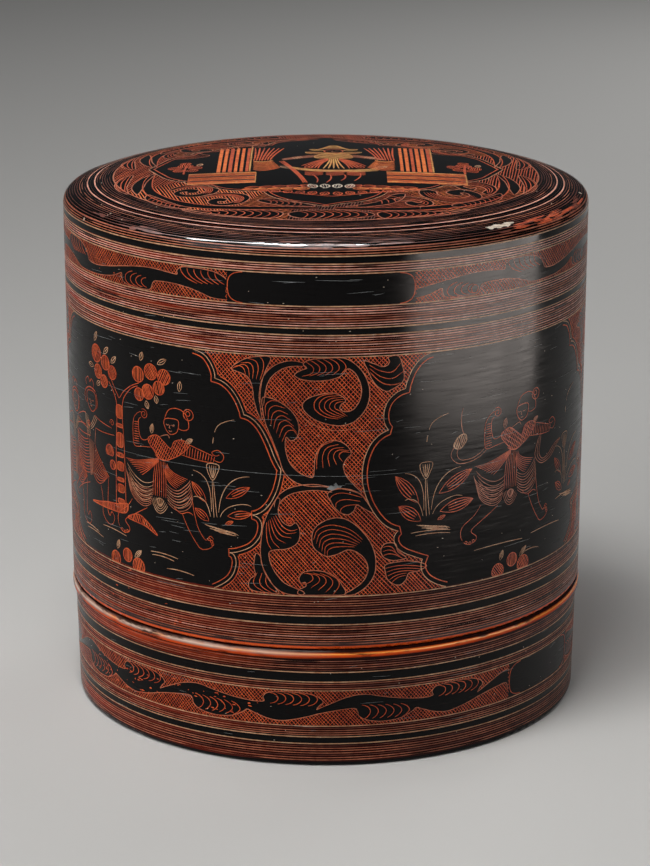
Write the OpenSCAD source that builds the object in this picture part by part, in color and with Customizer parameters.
// Burmese betel box: a deep lid over a cylindrical body with two hanging trays.
// Every piece is turned about the Z axis, and the box stands on z = 0.

/* [Lid] */
// Outside diameter of the lid at its mouth
lid_d = 200; // [140:1:280]
// Growth of the lid's outside radius from its mouth to its shoulder
lid_flare = 0.6; // [0:0.1:2]
// Height of the lid from its mouth to the edge of the crown's cap
lid_h = 157.3; // [110:0.1:230]
// Thickness of the lid's wall at its mouth
lid_wall_t = 4; // [2.5:0.1:7]
// Height of the hoop that ends the lid's wall
mouth_hoop_h = 3; // [2:0.1:8]
// Rounding of the mouth hoop's lower outer edge
mouth_round = 1.2; // [0.4:0.1:2]
// Rounding where the shoulder turns into the wall
shoulder_roll = 4.9; // [3:0.1:8]
// Rise of the crown's shallow cap from its edge to its middle
crown_rise = 2.9; // [1:0.1:6]
// Radius of the long curve from the crown's cap to the shoulder's roll
crown_curve = 80; // [60:1:120]
// Width of the crowned border, from the edge of the cap to the lid's edge
crown_w = 25.6; // [18:0.1:34]
// Width of the shoulder hoop's face, from the panel's seam to the lid's edge
shoulder_w = 10.6; // [8:0.1:16]
// Straight height of the shoulder hoop below its roll
shoulder_skirt = 1.8; // [0.5:0.1:6]
// Thickness of the top panel at its middle
panel_t = 6; // [4.5:0.1:8]
// Width of the ledge that carries the top panel
panel_ledge = 4; // [2:0.1:8]
// Height of that ledge
panel_ledge_h = 5.2; // [3:0.1:5.6]
// Height of the shoulder hoop's tongue inside the lid's wall
tongue_h = 4; // [2:0.1:8]
// Thickness of that tongue
tongue_t = 2.4; // [1.5:0.1:4]

/* [Base] */
// Height of the ledge that the lid comes down on
seat_z = 46.6; // [30:0.1:80]
// Thickness of the drum's wall at its top
drum_wall_t = 3.4; // [2:0.1:6]
// Loss of the drum's outside radius from its top to its foot
drum_taper = 0.9; // [0:0.1:1.5]
// How far the seat bead stands out from the drum
bead_proud = 1.2; // [0.4:0.1:3]
// Height of the seat bead
bead_h = 3.8; // [2.5:0.1:8]
// Rounding of the seat bead's upper edge
bead_round = 2.4; // [0.8:0.1:3.5]
// Height of the foot ring
foot_h = 5; // [3:0.1:10]
// Width of the foot ring
foot_w = 12.5; // [9:0.1:20]
// Rounding of the foot ring's lower outer edge
foot_round = 1.6; // [0.4:0.1:2.5]
// Thickness of the base floor
floor_t = 4; // [2.5:0.1:8]

/* [Body] */
// Thickness of the body's wall
body_wall_t = 3.4; // [2:0.1:6]
// Height of the hoop that ends the body's wall
body_rim_h = 3; // [2:0.1:8]
// Rounding of the body rim's upper edges
body_rim_round = 0.8; // [0.2:0.1:1.2]

/* [Trays] */
// Depth of the lower tray below the body's rim
lower_tray_depth = 50; // [34:1:90]
// Depth of the upper tray below the lower tray's flange
upper_tray_depth = 24; // [12:1:26]
// Thickness of the trays' walls
tray_wall_t = 2.6; // [1.6:0.1:4]
// Thickness of the trays' floors
tray_floor_t = 2.8; // [1.6:0.1:5]
// Depth that a tray's floor is let into the lower end of its wall
tray_rebate = 1.2; // [0.6:0.1:1.4]
// Height of the trays' flanges
flange_h = 2.7; // [1.6:0.1:5]
// Rounding of a flange's upper edges
flange_round = 0.8; // [0.2:0.1:0.8]
// How far a flange's edge stays inside the body's outer face
flange_inset = 0.5; // [0.2:0.1:1]

/* [Fits] */
// Running gap between the lid's bore and the body
lid_gap = 0.4; // [0.3:0.05:1]
// Running gap around each tray's wall
tray_gap = 0.6; // [0.3:0.05:1.5]
// Free height between the upper tray's flange and the lid's tongue
headroom = 1.5; // [0.5:0.1:8]
// Thickness of the glue between pieces that fit one inside another
glue = 0.1; // [0.05:0.05:0.2]

/* [Hidden] */
$fn = 160;

black_lacquer = [0.07, 0.05, 0.05];
red_lacquer = [0.55, 0.13, 0.07];
worn_lacquer = [0.62, 0.25, 0.12];

// Radii of the lid
lid_mouth_r = lid_d / 2;
lid_bore_r = lid_mouth_r - lid_wall_t;
lid_top_r = lid_mouth_r + lid_flare;
panel_r = lid_top_r - shoulder_w;
cap_edge_r = lid_top_r - crown_w;
cap_r = (pow(cap_edge_r, 2) + pow(crown_rise, 2)) / (2 * crown_rise);

// Heights of the lid
lid_mouth_z = seat_z;
lid_wall_z = lid_mouth_z + mouth_hoop_h;
cap_edge_z = lid_mouth_z + lid_h;
crown_z = cap_edge_z + crown_rise;

// The crown is three arcs: the cap, the long curve and the roll. Each arc's circle
// touches the next one, at the cap's edge and at the point where the roll begins.
cap_edge = [cap_edge_r, cap_edge_z];
cap_centre = [0, crown_z - cap_r];
curve_centre = cap_edge + (crown_curve / cap_r) * (cap_centre - cap_edge);
roll_x = lid_top_r - shoulder_roll;
roll_lift = sqrt(pow(crown_curve - shoulder_roll, 2) - pow(roll_x - curve_centre.x, 2));
roll_centre = [roll_x, curve_centre.y + roll_lift];
roll_share = crown_curve / (crown_curve - shoulder_roll);
roll_start = curve_centre + roll_share * (roll_centre - curve_centre);
shoulder_z = roll_centre.y - shoulder_skirt;
panel_z = shoulder_z + panel_ledge_h;

// Radii of the body, the base and the trays
body_r = lid_bore_r - lid_gap;
body_bore_r = body_r - body_wall_t;
drum_bore_r = body_r + glue;
drum_top_r = drum_bore_r + drum_wall_t;
foot_r = drum_top_r - drum_taper;
foot_bore_r = foot_r - foot_w;
bead_r = drum_top_r + bead_proud;
flange_r = body_r - flange_inset;
lower_tray_r = body_bore_r - tray_gap;
lower_tray_bore_r = lower_tray_r - tray_wall_t;
upper_tray_r = lower_tray_bore_r - tray_gap;

// Heights of the body and the trays, worked down from the lid's tongue
bead_z = seat_z - bead_h;
upper_flange_z = shoulder_z - tongue_h - headroom - flange_h;
lower_flange_z = upper_flange_z - flange_h;
body_rim_z = lower_flange_z - body_rim_h;

// A plain ring section from one corner to the other.
module section(low, high) {
    translate(low)
        square(high - low);
}

// A ring section whose upper edges are rounded, inside, outside or both.
module rounded_section(low, high, round_in, round_out) {
    section(low, [high.x, high.y - max(round_in, round_out)]);
    section([low.x + round_in, low.y], [high.x - round_out, high.y]);
    intersection() {
        section(low, high);
        union() {
            translate([low.x + round_in, high.y - round_in])
                circle(round_in);
            translate([high.x - round_out, high.y - round_out])
                circle(round_out);
        }
    }
}

// The lid's outline above a height: shallow cap, long crown curve, then the roll.
module crown_outline(from_z) {
    intersection() {
        translate(cap_centre)
            circle(cap_r, $fn = 1440);
        section([0, from_z], [cap_edge_r, crown_z]);
    }
    intersection() {
        translate(curve_centre)
            circle(crown_curve, $fn = 720);
        section([cap_edge_r, from_z], [roll_start.x, crown_z]);
    }
    intersection() {
        translate(roll_centre)
            circle(shoulder_roll);
        section([roll_start.x, roll_centre.y], [lid_top_r, crown_z]);
    }
    section([roll_start.x, from_z], [lid_top_r, roll_centre.y]);
}

// The panel's underside follows the cap inside its flat rim.
module lid_top_panel() {
    hollow_r = panel_r - 2 * panel_ledge;
    color(black_lacquer)
        rotate_extrude()
            difference() {
                intersection() {
                    crown_outline(panel_z);
                    section([0, panel_z], [panel_r, crown_z]);
                }
                intersection() {
                    translate(cap_centre)
                        circle(cap_r - panel_t, $fn = 1440);
                    section([0, panel_z], [hollow_r, crown_z]);
                }
            }
}

module lid_shoulder_hoop() {
    pocket_r = panel_r + glue;
    tongue_r = lid_bore_r - glue;
    color(black_lacquer)
        rotate_extrude() {
            difference() {
                crown_outline(shoulder_z);
                section([0, panel_z], [pocket_r, crown_z]);
                section([0, shoulder_z], [pocket_r - panel_ledge, panel_z]);
            }
            section([tongue_r - tongue_t, shoulder_z - tongue_h], [tongue_r, shoulder_z]);
        }
}

module lid_wall() {
    color(black_lacquer)
        rotate_extrude()
            polygon([
                [lid_bore_r, lid_wall_z],
                [lid_mouth_r, lid_wall_z],
                [lid_top_r, shoulder_z],
                [lid_bore_r, shoulder_z],
            ]);
}

module lid_mouth_hoop() {
    round_r = min(mouth_round, lid_wall_t / 2, mouth_hoop_h);
    color(worn_lacquer)
        rotate_extrude()
            translate([0, lid_mouth_z + lid_wall_z])
                mirror([0, 1])
                    rounded_section([lid_bore_r, lid_mouth_z], [lid_mouth_r, lid_wall_z], 0, round_r);
}

module base_foot_ring() {
    round_r = min(foot_round, foot_h / 2);
    color(black_lacquer)
        rotate_extrude()
            translate([0, foot_h])
                mirror([0, 1])
                    rounded_section([foot_bore_r, 0], [foot_r, foot_h], 0, round_r);
}

module base_floor() {
    color(red_lacquer)
        rotate_extrude()
            section([0, foot_h], [body_bore_r - glue, foot_h + floor_t]);
}

module base_drum() {
    color(black_lacquer)
        rotate_extrude()
            polygon([
                [drum_bore_r, foot_h],
                [foot_r, foot_h],
                [drum_top_r, bead_z],
                [drum_bore_r, bead_z],
            ]);
}

module base_seat_bead() {
    round_r = min(bead_round, bead_h);
    color(worn_lacquer)
        rotate_extrude()
            rounded_section([drum_bore_r, bead_z], [bead_r, seat_z], 0, round_r);
}

module body_wall() {
    color(red_lacquer)
        rotate_extrude()
            section([body_bore_r, foot_h], [body_r, body_rim_z]);
}

module body_rim_hoop() {
    color(red_lacquer)
        rotate_extrude()
            rounded_section(
                [body_bore_r, body_rim_z],
                [body_r, lower_flange_z],
                body_rim_round,
                body_rim_round
            );
}

// A tray's wall hangs below its flange and has a rebate for the floor at its lower end.
module tray_wall(outer_r, flange_z, depth) {
    bore_r = outer_r - tray_wall_t;
    low_z = flange_z - depth;
    color(red_lacquer)
        rotate_extrude()
            difference() {
                section([bore_r, low_z], [outer_r, flange_z]);
                section([bore_r, low_z], [bore_r + tray_rebate, low_z + tray_floor_t]);
            }
}

module tray_floor(outer_r, flange_z, depth) {
    low_z = flange_z - depth;
    color(red_lacquer)
        rotate_extrude()
            section([0, low_z], [outer_r - tray_wall_t + tray_rebate - glue, low_z + tray_floor_t]);
}

module tray_flange(outer_r, flange_z) {
    color(red_lacquer)
        rotate_extrude()
            rounded_section(
                [outer_r - tray_wall_t, flange_z],
                [flange_r, flange_z + flange_h],
                flange_round,
                flange_round
            );
}

module lower_tray_floor() {
    tray_floor(lower_tray_r, lower_flange_z, lower_tray_depth);
}

module lower_tray_wall() {
    tray_wall(lower_tray_r, lower_flange_z, lower_tray_depth);
}

module lower_tray_flange() {
    tray_flange(lower_tray_r, lower_flange_z);
}

module upper_tray_floor() {
    tray_floor(upper_tray_r, upper_flange_z, upper_tray_depth);
}

module upper_tray_wall() {
    tray_wall(upper_tray_r, upper_flange_z, upper_tray_depth);
}

module upper_tray_flange() {
    tray_flange(upper_tray_r, upper_flange_z);
}

lid_top_panel();
lid_shoulder_hoop();
lid_wall();
lid_mouth_hoop();
base_foot_ring();
base_floor();
base_drum();
base_seat_bead();
body_wall();
body_rim_hoop();
lower_tray_floor();
lower_tray_wall();
lower_tray_flange();
upper_tray_floor();
upper_tray_wall();
upper_tray_flange();
